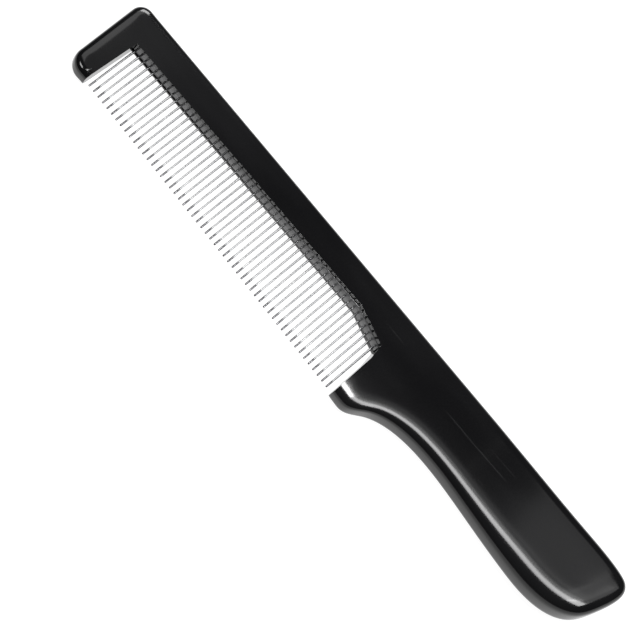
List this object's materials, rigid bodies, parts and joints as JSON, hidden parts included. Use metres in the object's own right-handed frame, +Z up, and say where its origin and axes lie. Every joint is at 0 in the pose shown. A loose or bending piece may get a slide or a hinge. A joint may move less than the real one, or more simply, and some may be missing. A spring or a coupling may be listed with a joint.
{
  "type": "hair comb",
  "caption": "Hair comb with a moulded handled frame, a carrier bar let into its spine and a straight row of slim steel pins for teeth.",
  "frame": {"origin": "centre of the comb's outline, at the height of the flat back face it rests on", "axes": "+X along the comb from its head to the tail of the handle, +Y from the pins' tips towards the back edge, +Z up out of the front face"},
  "size_m": [0.2022, 0.0314, 0.0117],
  "materials": {
    "frame_plastic": "high-gloss black moulding",
    "bar_plastic": "satin black moulding",
    "pin_steel": "bright polished steel"
  },
  "bodies": {
    "root": {"frame": "frame_plastic", "pin_bar": "bar_plastic", "pin_01": "pin_steel", "pin_02": "pin_steel", "pin_03": "pin_steel", "pin_04": "pin_steel", "pin_05": "pin_steel", "pin_06": "pin_steel", "pin_07": "pin_steel", "pin_08": "pin_steel", "pin_09": "pin_steel", "pin_10": "pin_steel", "pin_11": "pin_steel", "pin_12": "pin_steel", "pin_13": "pin_steel", "pin_14": "pin_steel", "pin_15": "pin_steel", "pin_16": "pin_steel", "pin_17": "pin_steel", "pin_18": "pin_steel", "pin_19": "pin_steel", "pin_20": "pin_steel", "pin_21": "pin_steel", "pin_22": "pin_steel", "pin_23": "pin_steel", "pin_24": "pin_steel", "pin_25": "pin_steel", "pin_26": "pin_steel", "pin_27": "pin_steel", "pin_28": "pin_steel", "pin_29": "pin_steel", "pin_30": "pin_steel", "pin_31": "pin_steel", "pin_32": "pin_steel", "pin_33": "pin_steel", "pin_34": "pin_steel", "pin_35": "pin_steel", "pin_36": "pin_steel", "pin_37": "pin_steel", "pin_38": "pin_steel", "pin_39": "pin_steel", "pin_40": "pin_steel", "pin_41": "pin_steel", "pin_42": "pin_steel", "pin_43": "pin_steel", "pin_44": "pin_steel", "pin_45": "pin_steel", "pin_46": "pin_steel", "pin_47": "pin_steel", "pin_48": "pin_steel", "pin_49": "pin_steel", "pin_50": "pin_steel", "pin_51": "pin_steel", "pin_52": "pin_steel", "pin_53": "pin_steel", "pin_54": "pin_steel"}
  },
  "joints": []
}
